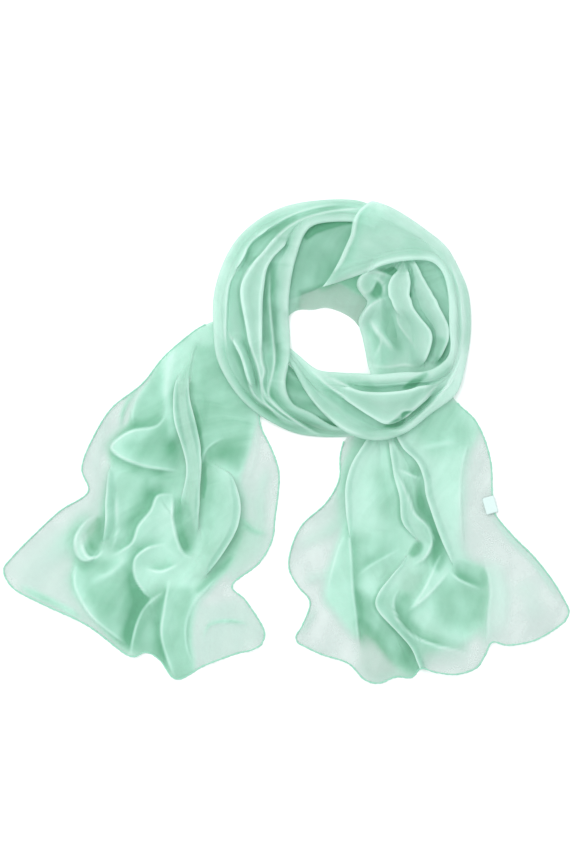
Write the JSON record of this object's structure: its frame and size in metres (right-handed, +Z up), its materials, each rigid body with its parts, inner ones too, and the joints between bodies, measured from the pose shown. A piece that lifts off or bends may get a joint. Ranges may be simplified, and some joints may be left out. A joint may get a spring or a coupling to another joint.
{
  "type": "chiffon scarf",
  "caption": "Sheer chiffon scarf laid flat as if round a neck: a wound, overlapping ring with an open middle, spreading tails with fine hems and a small blank care label.",
  "frame": {"origin": "centre of the scarf's outline on the surface that it lies on", "axes": "+X to the scarf's right seen from above, +Y from the tails' hems towards the ring, +Z up from the surface"},
  "size_m": [0.565, 0.4844, 0.0271],
  "materials": {
    "hidden_cloth": "deep mint, many layers of sheer crepe chiffon",
    "turn_cloth": "mint green sheer crepe chiffon, matt",
    "tail_cloth": "mint green sheer crepe chiffon, single layer, matt",
    "label_tape": "white woven tape, blank"
  },
  "bodies": {
    "root": {"wound_core": "hidden_cloth", "turn_left": "turn_cloth", "turn_front": "turn_cloth", "turn_inner": "turn_cloth", "turn_back": "turn_cloth", "tail_left": "tail_cloth", "tail_right": "tail_cloth", "care_label": "label_tape"}
  },
  "joints": []
}
